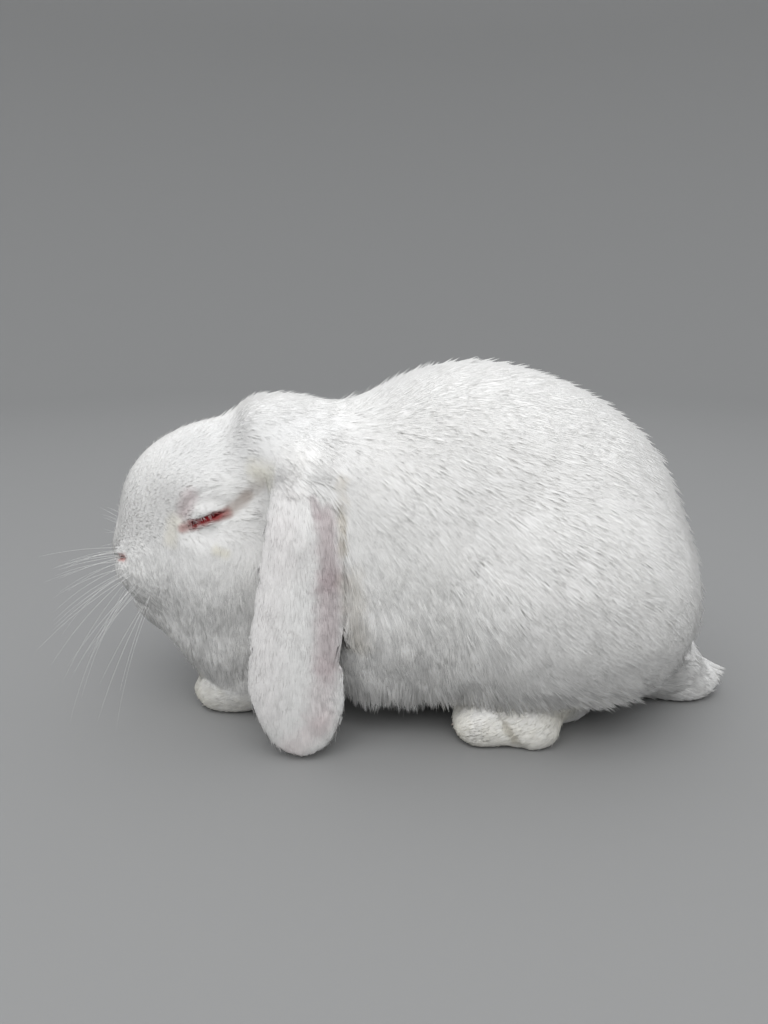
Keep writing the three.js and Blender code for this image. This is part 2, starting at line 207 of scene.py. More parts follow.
def skin_normals():
    """The outward direction at each of the skin's points."""
    a, b, c = (skin[skin_triangles[:, k]] for k in range(3))
    across = np.cross(b - a, c - a)
    return unit(np.stack([
        sum(np.bincount(skin_triangles[:, k], column, len(skin)) for k in range(3))
        for column in across.T
    ], 1))


def ease(value, low, high):
    """0 at low, 1 at high, and a smooth change between them. low may be the larger one."""
    share = np.clip((value - low) / (high - low), 0, 1)
    return share * share * (3 - 2 * share)


def on_left(points):
    """The points, with those on the right side mirrored onto the left."""
    return np.abs(points[:, :1]) * (1, 0, 0) + points * (0, 1, 1)


# Skin this near to a solid counts as its own.
TOUCHING = 0.35


def nearness(nodes, reach):
    """1 where the skin belongs to some nodes, falling to 0 at this distance from them."""
    tree = BVHTree.FromPolygons(*(array.tolist() for array in shape_of(nodes)))
    distance = np.array([tree.find_nearest(point)[3] for point in skin.tolist()])
    return ease(distance, reach, TOUCHING)


on_ear = nearness(EARS, 2.0)
on_foot = nearness(FEET, 4)
on_tail = nearness(["tail"], 8)
on_head = nearness(["head"], 12)

# The facets are evened out by turns of drawing in and letting out, which keeps the size.
EVENING_ROUNDS, DRAWN_IN, LET_OUT = 24, 0.60, -0.63
firm = np.maximum(on_ear, 0.7 * on_foot)
for _ in range(EVENING_ROUNDS):
    skin = relaxed(skin, DRAWN_IN * (1 - 0.55 * firm), 1)
    skin = relaxed(skin, LET_OUT * (1 - 0.55 * firm), 1)
skin = relaxed(skin, 0.5 * (1 - 0.8 * firm), 3)

# The ears' roots run into the crown without a step, under hair that lies over both.
EAR_ROOT = (30, -70, 120)
from_root = np.linalg.norm(on_left(skin) - EAR_ROOT, axis=1)
skin = relaxed(skin, 0.5 * ease(from_root, 22, 8) * (1 - on_ear), 40)

# Each ear ends in an even curve: its margins, seen from the side, are evened round this middle.
EAR_MIDDLE, EAR_BINS = np.array([-52.0, 36.0]), 120
from_middle = skin[:, 1:] - EAR_MIDDLE
ear_reach = np.linalg.norm(from_middle, axis=1)
bearing = np.arctan2(from_middle[:, 1], from_middle[:, 0]) / math.tau % 1
ear_bin = (bearing * EAR_BINS).astype(int) % EAR_BINS
margin = np.array([
    np.max(ear_reach[(ear_bin == k) & (on_ear > 0.6)], initial=0) for k in range(EAR_BINS)
])
window = np.arange(-6, 7)
weight = np.exp(-(window / 3.0) ** 2)
even = sum(np.roll(margin, shift) * w for shift, w in zip(window, weight)) / weight.sum()
stretch = even / np.maximum(margin, 1)
stretch = sum(np.roll(stretch, shift) for shift in (-1, 0, 1)) / 3
share = on_ear * ease(skin[:, 2], 44, 30) * ease(ear_reach, 8, 18)
skin[:, 1:] += from_middle * ((stretch[ear_bin] * 1.01 - 1) * share)[:, None]


def over_regions(trunk, head, tail, foot, ear):
    """A measure of the coat at each of the skin's points, from its values on five regions."""
    value = np.full(len(skin), float(trunk))
    for where, local in ((on_head, head), (on_tail, tail), (on_foot, foot), (on_ear, ear)):
        value += (local - value) * where
    return value


# Where the form is thin, as on the rims of the ears, the mean of the normals around is short.
TRUNK_COAT, FACE_COAT, NOSE_COAT, EAR_COAT, FOOT_COAT, TAIL_COAT = 3.4, 1.6, 0.6, 0.45, 1.2, 2.8
SINK_STEPS, SKIN_OVER_FLOOR = 8, 0.6
thinness = 1 - np.linalg.norm(relaxed(skin_normals(), 1, 3), axis=1)
behind_nose = ease(skin[:, 1], NOSE_TIP[1], NOSE_TIP[1] + 95)
head_coat = NOSE_COAT + (FACE_COAT - NOSE_COAT) * behind_nose
coat_depth = over_regions(TRUNK_COAT, head_coat, TAIL_COAT, FOOT_COAT, EAR_COAT)
sinking = relaxed(coat_depth * ease(thinness, 0.45, 0.1), 0.5, 8)
for _ in range(SINK_STEPS):
    skin -= skin_normals() * sinking[:, None] / SINK_STEPS
    skin = relaxed(skin, 0.12 * (1 - 0.8 * on_ear), 2)
skin[:, 2] = np.maximum(skin[:, 2], SKIN_OVER_FLOOR)


# --- Relief of face and feet ------------------------------------------------------------------
# Lids over each eyeball with a narrow slit between them, the fold that runs back from the eye,
# nostrils, the cleft below the nose, the line of the mouth, and the clefts between the toes.

EYE_AXIS = unit(np.array([0.965, -0.2, 0.17]))
SLIT_SLOPE = math.radians(20)
SLIT_LENGTH, SLIT_HEIGHT, SLIT_DROP, SLIT_DEPTH = 21.0, 3.6, 1.9, 2.3
LID_THICKNESS = 1.0


def eye_frame(side):
    """The slit's middle, and the ways out of the eye, back along the slit and up across it."""
    out = EYE_AXIS * (side, 1, 1)
    back = unit(np.array([0, math.cos(SLIT_SLOPE), math.sin(SLIT_SLOPE)]))
    back = unit(back - out * (back @ out))
    up = np.cross(out, back) * side
    return EYE_CENTRE * (side, 1, 1), out, back, up


slit = np.zeros(len(skin))
for side in SIDES.values():
    centre, out, back, up = eye_frame(side)
    seen = skin - centre
    distance = np.linalg.norm(seen, axis=1)
    along, across = seen @ back, seen @ up
    facing = ease(seen @ out, 0, 3) * ease(distance, 18, 13)
    half_height = SLIT_HEIGHT / 2 * np.maximum(1 - (2 * along / SLIT_LENGTH) ** 2, 0)
    across_slit = across + SLIT_DROP
    opening = ease(np.abs(across_slit), half_height + 0.25, half_height - 0.35) * (half_height > 0.3)
    opening *= facing
    over_ball = facing * ease(np.hypot(along / 1.25, across + 0.8), 11, 4)
    bulge = ease(across_slit, 0.8, 3.4) * ease(across_slit, 9.5, 5.0) * ease(np.abs(along), 11, 4)
    wanted = EYE_RADIUS + LID_THICKNESS + 0.4 * ease(np.abs(across_slit), 2.5, 1.2) + 0.35 * bulge
    wanted = wanted - opening * (LID_THICKNESS + SLIT_DEPTH)
    share = np.maximum(over_ball, opening)
    skin += (centre + seen * (wanted / distance)[:, None] - skin) * share[:, None]
    slit = np.maximum(slit, opening)


def groove(points, line, reach):
    """1 along a line of points, falling to 0 at this distance from it."""
    best = np.full(len(points), 1e9)
    line = np.array(line, float)
    for start, end in zip(line[:-1], line[1:]):
        share = np.clip((points - start) @ (end - start) / ((end - start) @ (end - start)), 0, 1)
        best = np.minimum(best, np.linalg.norm(points - start - share[:, None] * (end - start), axis=1))
    return ease(best, reach, 0)


mirrored = on_left(skin)
front = mirrored * (1, 0, 1)
on_front = ease(skin[:, 1], -116, -123)
centre, out, back, up = eye_frame(1)
crease_line = [
    centre + out * 8.5 + back * run + up * above
    for run, above in ((-9, 4), (-3, 8), (5, 9), (13, 8))
]
crease = groove(mirrored, crease_line, 2.4)
nostril = groove(front, [(4, 0, 66.4), (8, 0, 70), (13, 0, 71.8), (16.5, 0, 72.8)], 2.0) * on_front
lip_line = np.maximum(
    groove(front, [(0, 0, 65), (0, 0, 56)], 1.4),
    groove(front, [(0, 0, 56), (3.5, 0, 52.5), (9, 0, 50), (13, 0, 49.5)], 1.6),
) * on_front
fold = groove(mirrored, [(31, -78.5, 99.5), (29.5, -72, 104.5), (32, -66, 109.5)], 6.0)
jaw = groove(mirrored, [(26, -100, 37), (33, -83, 48.5), (38, -67, 64)], 9.0)
normals = skin_normals()
hollow = 2.0 * nostril + 1.2 * lip_line + 1.0 * fold + 1.2 * jaw + 0.5 * crease * (1 - slit)
toe_clefts = [
    # the line of the cleft, its reach and its depth
    *[([(x, -109, 1), (x, -106, 10), (x, -96, 16)], 1.7, 1.5) for x in (7.6, 11.7, 16.1)],
    ([(33.4, 8, 1), (33.4, 12, 12), (33.4, 24, 18)], 2.0, 1.7),
    ([(40.6, 6, 1), (40.6, 10, 12), (40.6, 22, 18)], 2.2, 1.9),
    ([(52, 39, 1), (54, 36, 5), (52.5, 32.5, 10), (49, 30, 14)], 3.2, 3.4),
]
for line, reach, depth in toe_clefts:
    hollow += depth * groove(mirrored, line, reach) * on_foot
skin -= normals * hollow[:, None]
mirrored = on_left(skin)
normals = skin_normals()


# --- Colours of skin and coat -----------------------------------------------------------------
# A white albino: no pigment at all, so warm tints show where bare pink skin comes close to
# the surface, where tears and glands have stained the hair, and on the feet's cream hair. The
# other marks are painted shade: greys on the crown, throat, flank and ear top, and darker tints
# in the fold behind the eye, in the slit, along the ear's rear margin, on the neck behind the
# ear and in the cleft between the hind toes.

WHITE = (0.90, 0.893, 0.875)
MARKS_AND_SHADE = (
    # where it runs from and to, its reach, its colour and how strong it is
    # crown, throat and flank: painted shade, greys that darken the coat there
    ((22.0, -94.0, 122), (24.0, -54, 130), 25.0, (0.72, 0.72, 0.715), 0.42),
    ((28.0, -98.0, 50), (38.0, -68, 54), 17.0, (0.60, 0.60, 0.585), 0.2),
    ((50.0, -24.0, 96), (58.0, 10, 60), 26.0, (0.66, 0.66, 0.64), 0.24),
    # the ear: painted shade, a grey at its top; pink skin through thin hair along its rear margin and
    # towards its tip, that margin deepened with painted shade
    ((47.0, -57.0, 108), (53.0, -54.0, 84), 13.0, (0.72, 0.695, 0.685), 0.42),
    ((49.5, -40.5, 101), (53.5, -39.0, 76), 7.5, (0.50, 0.405, 0.415), 0.62),
    ((53.5, -39.0, 76), (57.5, -41.0, 42), 9.5, (0.52, 0.43, 0.44), 0.62),
    ((57.5, -42.0, 40), (59.0, -45.0, 18), 9.0, (0.66, 0.57, 0.575), 0.42),
    ((57.0, -44.0, 18), (57.0, -56, 6), 9.0, (0.84, 0.71, 0.71), 0.35),
    ((52.0, -62.0, 96), (57.0, -66, 24), 14.0, (0.89, 0.845, 0.84), 0.30),
    # painted shade in the crease at the top of the ear's rear margin
    ((46.5, -46.0, 107), (50.0, -44, 101), 3.0, (0.42, 0.34, 0.35), 0.45),
    # behind the ear and round the eye: stained hair, painted shade on the neck behind the ear, and a
    # pink patch above the front corner
    ((40.0, -35.0, 112), (46.0, -34.0, 86), 5.0, (0.66, 0.57, 0.42), 0.40),
    # painted shade, brownish, on the neck behind and below the ear
    ((48.5, -31.5, 74), (48.5, -28, 48), 9.0, (0.54, 0.49, 0.41), 0.40),
    ((30.0, -69.0, 114), (36.0, -62.5, 113), 8.0, (0.86, 0.82, 0.65), 0.38),
    ((28.3, -104.0, 92.5), (27.4, -106, 85), 6.0, (0.85, 0.79, 0.62), 0.34),
    ((34.6, -86.0, 82), (34.6, -83, 81), 3.8, (0.82, 0.77, 0.58), 0.40),
    ((29.4, -97.0, 103.5), (29.4, -99.5, 97), 5.5, (0.62, 0.46, 0.47), 0.42),
    # painted shade in the fold behind the eye, the lids' red rims, and the slit's walls in the eye's
    # deep red, darkened with painted shade
    ((28.6, -74.0, 103.5), (31.5, -66.0, 109.5), 4.4, (0.46, 0.40, 0.35), 0.30),
    ((31.2, -82.0, 96.8), (28.6, -74.0, 103.5), 4.2, (0.42, 0.345, 0.30), 0.62),
    ((29.9, -100.8, 89.9), (31.8, -82.0, 97.2), 3.4, (0.44, 0.23, 0.21), 0.75),
    # the slit's walls: the eye's red, darkened with painted shade
    ((31.2, -95.6, 92.4), (32.6, -85.8, 96.2), 2.9, (0.32, 0.035, 0.035), 0.97),
    ((28.6, -95.2, 92.0), (30.0, -84.5, 96.2), 3.8, (0.26, 0.02, 0.02), 0.98),
    # nostril and lip
    ((13.6, -133.4, 71.6), (16.6, -130.6, 72.6), 2.4, (0.36, 0.10, 0.08), 0.95),
    ((14.0, -133.5, 71.8), (17.5, -130.0, 73.0), 3.2, (0.62, 0.36, 0.33), 0.4),
    ((0.0, -140.0, 67), (0.0, -137, 57), 3.2, (0.82, 0.62, 0.59), 0.45),
    # cream feet, and painted shade in the cleft between the hind toes
    ((14.0, -106.0, 4), (15.0, -64, 10), 17.0, (0.88, 0.845, 0.72), 0.60),
    ((42.0, 10.0, 4), (46.0, 62, 8), 17.0, (0.88, 0.845, 0.72), 0.60),
    ((52.5, 36.0, 4), (50.5, 31.0, 12), 2.6, (0.45, 0.41, 0.32), 0.45),
)


class Value:
    """A shader socket, on which sums and products are written as ordinary Python ones."""

    def __init__(self, tree, link=None):
        self.tree, self.link = tree, link

    def node(self, kind, settings=None, sockets=None, output=0):
        """A node of this type: its settings are made first, then its sockets set or linked."""
        made = self.tree.nodes.new("ShaderNode" + kind)
        for name, setting in (settings or {}).items():
            setattr(made, name, setting)
        for name, value in (sockets or {}).items():
            if isinstance(value, Value):
                self.tree.links.new(made.inputs[name], value.link)
            else:
                made.inputs[name].default_value = value
        return Value(self.tree, made.outputs[output])

    def math(self, operation, *values):
        return self.node("Math", {"operation": operation}, dict(enumerate(values)))

    def __add__(self, other):
        return self.math("ADD", self, other)

    def __sub__(self, other):
        return self.math("SUBTRACT", self, other)

    def __rsub__(self, other):
        return self.math("SUBTRACT", other, self)

    def __mul__(self, other):
        return self.math("MULTIPLY", self, other)

    __radd__, __rmul__ = __add__, __mul__

    def vector(self, operation, *others, output=0):
        return self.node("VectorMath", {"operation": operation}, dict(enumerate((self, *others))), output)

    def scaled(self, vector, share):
        """A vector or colour times a number."""
        return self.node("VectorMath", {"operation": "SCALE"}, {0: vector, "Scale": share})

    def smooth(self, low, high):
        """0 at low and 1 at high, eased between. low may be the larger one."""
        return self.node("MapRange", {"interpolation_type": "SMOOTHSTEP"},
                         {"Value": self, "From Min": low, "From Max": high})

    def mixed(self, factor, under, over):
        """One colour with another laid over it, by a factor or a mask."""
        return self.node("Mix", {"data_type": "RGBA"}, {0: factor, 6: under, 7: over}, 2)

    def noise(self, size, detail=2.0):
        """Soft noise over the piece, with patches of this size in millimetres."""
        return self.node("TexNoise", {}, {"Vector": self, "Scale": 1 / (size * MM), "Detail": detail})


def new_material(name):
    """An empty material and the start of its tree."""
    material = bpy.data.materials.new(name)
    material.use_nodes = True
    material.node_tree.nodes.clear()
    return material, Value(material.node_tree)


def finish_material(start, sockets):
    """Ends a material's tree in one surface with these values and links."""
    surface = start.node("BsdfPrincipled", {}, sockets)
    output = start.tree.nodes.new("ShaderNodeOutputMaterial")
    start.tree.links.new(output.inputs["Surface"], surface.link)


def place_on(start):
    """Where a point is, and that place with the right side mirrored onto the left."""
    where = start.node("TexCoord", output=3)
    x, y, z = (where.node("SeparateXYZ", {}, {0: where}, k) for k in range(3))
    return where, start.node("CombineXYZ", {}, {0: start.math("ABSOLUTE", x), 1: y, 2: z})


def markings_and_shade(start):
    """The animal's colour at each point with its painted shade, the same for skin and coat, and where that
    point is.
    """
    where, folded = place_on(start)
    raggedness = where.noise(5.0) * 0.9 + 0.55
    colour = WHITE + (1,)
    for begin, end, reach, tint, strength in MARKS_AND_SHADE:
        begin, end = np.array(begin) * MM, np.array(end) * MM
        run = end - begin
        seen = folded.vector("SUBTRACT", tuple(begin))
        share = seen.vector("DOT_PRODUCT", tuple(run / (run @ run)), output=1)
        share = share.node("Clamp", {}, {"Value": share})
        distance = seen.vector("DISTANCE", start.scaled(tuple(run), share), output=1)
        mask = (distance * raggedness).smooth(reach * MM, reach * MM * 0.15) * strength
        colour = start.mixed(mask, colour, tint + (1,))
    return colour, where


def hairy(name, brightness, tone_and_shade_amount, grained):
    """Hair or hairy skin: the colour with its painted shade, and uneven brightness partly of painted
    shade, on a dry and matt surface.
    """
    material, start = new_material(name)
    colour, where = markings_and_shade(start)
    # each lock's random brightness, with painted shade in it; the skin has none
    tone_and_shade = start.node("Attribute", {"attribute_name": "tone_and_shade"}, output=2)
    shade = brightness + tone_and_shade * tone_and_shade_amount + (where.noise(4.0) - 0.5) * 0.06
    sockets = {"Base Color": start.scaled(colour, shade), "Roughness": 0.62, "Specular IOR Level": 0.35}
    if grained:
        grain = {"Height": where.noise(0.9, 3.0), "Distance": 0.3 * MM, "Strength": 0.4}
        sockets["Normal"] = start.node("Bump", {}, grain)
    finish_material(start, sockets)
    return material


skin_material = hairy("skin", 0.99, 0.02, True)
coat_material = hairy("coat", 1.04, 0.08, False)

skin_mesh.vertices.foreach_set("co", (skin * MM).astype(np.float32).ravel())
skin_mesh.polygons.foreach_set("use_smooth", np.full(len(skin_mesh.polygons), True))
skin_mesh.update()
skin_piece = place("skin", skin_mesh, skin_material)
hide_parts(*FLESH)


# --- Coat -------------------------------------------------------------------------------------
# Dense white plush, short on the face, ears and feet and longer on the trunk. Each lock is a
# closed leaf-shaped sliver of hair, rooted in the skin and laid over it to the coat's outline.

# Where the coat lies on the left side: a place on the animal, the way the hair runs, its reach.
BODY_LIE = (
    ((0, -138, 80), (0, 0.45, 1), 9), ((0, -124, 110), (0, 1, 0.9), 14),
    ((0, -100, 127), (0, 1, 0.3), 14), ((0, -70, 140), (0, 1, 0), 16),
    ((8, -135, 70), (0.5, 0.9, 0.1), 6), ((15, -128, 66), (0.3, 0.5, -1), 9),
    ((16, -124, 90), (0.4, 1, 0.4), 9), ((0, -132, 44), (0, 0.9, -0.5), 9),
    ((28, -112, 68), (0.1, 0.1, -1), 12), ((40, -85, 66), (0, -0.3, -1), 14),
    ((30, -98, 42), (-0.2, -0.25, -1), 12), ((15, -108, 34), (0, 0.6, -0.8), 12),
    ((25, -96, 110), (0.1, 1, 0.25), 9), ((36, -70, 106), (0.2, 1, 0.15), 9),
    ((33, -98, 84), (0.1, 0.6, -0.9), 7), ((31, -93, 99), (0.1, 1, 0.3), 6),
    ((31, -83, 101), (0.1, 1, 0.35), 7), ((30, -58, 128), (0.7, 0.8, -0.35), 13),
    ((42, -46, 118), (0.5, 0.8, -0.5), 10),
    ((0, -28, 140), (0, 1, 0.1), 18), ((38, -22, 118), (0.3, 1, -0.7), 14),
    ((46, -22, 92), (0.1, 0.7, -1), 16), ((47, -18, 58), (0, 0.2, -1), 20),
    ((0, -78, 30), (0, 0.3, -1), 20), ((35, -60, 35), (0, 0.1, -1), 20),
    ((0, 20, 154), (0, 1, 0), 30), ((0, 70, 142), (0, 1, -0.35), 26),
    ((42, 10, 126), (0.4, 1, -0.5), 22), ((48, 55, 116), (0.3, 1, -0.55), 24),
    ((60, -5, 78), (0.1, 0.45, -1), 22), ((64, 40, 78), (0, 0.9, -0.8), 22),
    ((55, -12, 25), (0, 0.0, -1), 20), ((62, 18, 30), (0, 0.2, -1), 20),
    ((64, 62, 60), (0, 0.85, -0.65), 24), ((60, 62, 26), (0, 0.85, -0.6), 20),
    ((0, 114, 95), (0, 0.45, -1), 28), ((42, 98, 80), (-0.1, 0.8, -0.8), 24),
    ((30, 114, 40), (0, 0.7, -0.8), 22), ((0, 0, 2), (0, 1, -0.1), 30), ((0, 60, 4), (0, 1, -0.1), 26),
)
EAR_LIE = (
    ((44, -50, 112), (0.7, 0.3, -0.7), 8), ((52, -50, 92), (0.1, 0.1, -1), 20),
    ((57, -52, 55), (0, 0, -1), 30), ((57, -66, 25), (0, -0.15, -1), 12),
    ((57, -38, 25), (0, 0.15, -1), 12), ((57, -52, 4), (0, 0, -1), 12),
)
FOOT_LIE = (
    ((15, -70, 18), (0, -1, -0.3), 18), ((14, -102, 10), (0, -1, -0.7), 12),
    ((40, 25, 16), (0, -1, -0.2), 16), ((40, 10, 8), (0, -1, -0.9), 10),
    ((53, 48, 8), (0.3, -0.8, -0.7), 16),
)
TAIL_LIE = (
    ((0, 118, 25), (0, 1, -0.5), 14), ((0, 138, 8), (0, 1, -0.3), 12),
    ((16, 118, 14), (0.4, 1, -0.4), 12),
)
FAR_SHARE = 1e-6


def lie_from(guides):
    """The way the hair runs at each of the skin's points, drawn from the guides around it."""
    total = np.zeros_like(skin)
    for point, way, reach in guides:
        away = np.linalg.norm(mirrored - point, axis=1) / reach
        total += unit(np.array(way, float)) * np.exp(-away ** 2 / 1.5)[:, None]
        total += unit(np.array(way, float)) * (FAR_SHARE / (1 + away ** 4))[:, None]
    return unit(total) * np.where(skin[:, :1] < 0, (-1, 1, 1), 1)


lie = lie_from(BODY_LIE)
for where, guides in ((on_tail, TAIL_LIE), (on_foot, FOOT_LIE), (on_ear, EAR_LIE)):
    lie += (lie_from(guides) - lie) * where[:, None]
lie = relaxed(lie, 0.5, 6)
lie = unit(lie - normals * (lie * normals).sum(1)[:, None])

off_nose = ease(skin[:, 1], NOSE_TIP[1], NOSE_TIP[1] + 80)
near_eye = np.zeros(len(skin))
for side in SIDES.values():
    centre, out, back, up = eye_frame(side)
    from_lids = np.linalg.norm(skin - centre - out * EYE_RADIUS, axis=1)
    near_eye = np.maximum(near_eye, ease(from_lids, 17, 5))

lock_length = over_regions(12, 2.4 + 6.2 * off_nose, 12, 4.6, 5.2) * (1 - 0.5 * near_eye)
lock_length *= 1 - 0.5 * on_tail * ease(skin[:, 1], 118, 136)
lock_width = over_regions(0.44, 0.28 + 0.12 * off_nose, 0.44, 0.34, 0.30)
lock_height = coat_depth * (1 - 0.35 * near_eye)
crowding = over_regions(2.0, 4.4, 3.0, 5.0, 3.6) * (1 - slit) * (1 - 0.9 * nostril)
crowding *= 1 - 0.7 * ease(normals[:, 2], -0.5, -0.9)

# Where the hair hangs or stands free at the edge of the form: belly, haunch, tail, chin, crown.
# Each edge runs from one place to another, and has its reach and how free the hair is.
FREE_EDGES = (
    ((42, -38, 30), (47, 10, 29), 12, 0.9), ((47, 10, 29), (52, 30, 31), 10, 0.55),
    ((54, 32, 31), (50, 96, 31), 9, 0.5),
    ((40, 100, 26), (20, 112, 32), 12, 0.5), ((0, 141, 8), (0, 133, 14), 15, 1.0),
    ((8, -124, 42), (22, -104, 34), 11, 0.45), ((0, -47, 140), (22, -46, 132), 9, 0.7),
    ((30, -98, 36), (36, -70, 24), 12, 0.6),
)
freedom = np.zeros(len(skin))
for start, end, reach, most in FREE_EDGES:
    freedom = np.maximum(freedom, most * groove(mirrored, [start, end], reach))
freedom *= (1 - on_ear) * (1 - on_foot)
soft_normals = unit(relaxed(normals, 0.5, 10))

# How far the coat is broken into strands: hardly at all on the back, most low on the flanks.
height = skin[:, 2]
haunch = ease(skin[:, 1], 5, 40) * ease(height, 28, 50)
head_shag = 0.04 + 0.93 * ease(height, 96, 62)
trunk_shag = ease(height, 112, 52) * (1 - 0.75 * haunch)
shag = over_regions(0, 0, 0.6, 0.5, 0) + (1 - on_foot) * (1 - on_tail) * (1 - on_ear) * (
    on_head * head_shag + (1 - on_head) * trunk_shag)
shag += on_ear * (0.4 + 0.35 * ease(skin[:, 1], -54, -42))


def ripple(points, size, seed, waves=14):
    """A smooth random value, mostly within -1 to 1, that changes over about this distance."""
    rng = np.random.default_rng(seed)
    ways = unit(rng.normal(size=(waves, 3))) * rng.uniform(0.6, 1.5, (waves, 1)) * math.tau / size / 2
    return np.sin(points @ ways.T + rng.uniform(0, math.tau, waves)).sum(1) / math.sqrt(waves / 2) * 0.7


def nearest_among(numbers, points):
    """A search for the nearest of some points, which gives their numbers for many places."""
    tree = KDTree(len(numbers))
    for number, point in zip(numbers.tolist(), points.tolist()):
        tree.insert(point, number)
    tree.balance()
    return lambda places: np.array([tree.find(point)[1] for point in places.tolist()])


# The corners of a lock are its root, the two sides of its middle and its tip. All four faces
# take most of their shading from the skin below, as soft hair does.
LOCK_FACES = np.array([[0, 2, 1], [1, 2, 3], [0, 1, 3], [0, 3, 2]])
SOFTNESS, SHAGGY_SOFTNESS, LEAST_FACING = 0.98, 0.9, 0.1
PATCH_SIZE = 0.003


def well_laid(root, middle, tip, up, length, depth):
    """Which locks are hardly bent sideways, not drawn out, and neither sunk nor raised."""
    straight = unit(tip - root)
    bend = middle - root - straight * ((middle - root) * straight).sum(1)[:, None]
    bend -= up * (bend * up).sum(1)[:, None]
    sound = np.linalg.norm(bend, axis=1) < 0.3 + 0.03 * length
    sound &= np.linalg.norm(tip - root, axis=1) < 1.2 * length + 1
    sound &= ((middle - root) * up).sum(1) > 0
    return sound & (((tip - root) * up).sum(1) < 0.4 * length + 1.6 * depth)


def lock_normals(points, up, softness):
    """The shading of each face of each lock: its own, softened to the skin's way out."""
    a, b, c = (points[:, LOCK_FACES[:, k]] for k in range(3))
    facing = unit(np.cross(b - a, c - a))
    shading = unit(facing * (1 - softness) + up[:, None, :] * softness)
    lacking = np.maximum(LEAST_FACING - (shading * facing).sum(2, keepdims=True), 0)
    return unit(shading + facing * lacking)


def lock_patches(root, unwrap):
    """A small patch of the map for each lock, where its root is on the unwrapped skin."""
    spread = unwrap(root)
    spread = (spread - spread.min(0)) / np.ptp(spread, axis=0) * 0.99 + 0.005
    patch = np.array([[0, -0.5], [-0.5, 0], [0.5, 0], [0, 0.5]]) * PATCH_SIZE
    return spread[:, None, :] + patch


# How far along a lock its middle is, and its middle's and tip's heights as shares of the coat's.
MIDDLE_ALONG, MIDDLE_HEIGHT, TIP_HEIGHT = 0.36, 0.76, 0.97
LOCKS_TO_A_LEADER, ROOT_DEPTH, COAT_OVER_FLOOR = 9, 0.4, 0.3


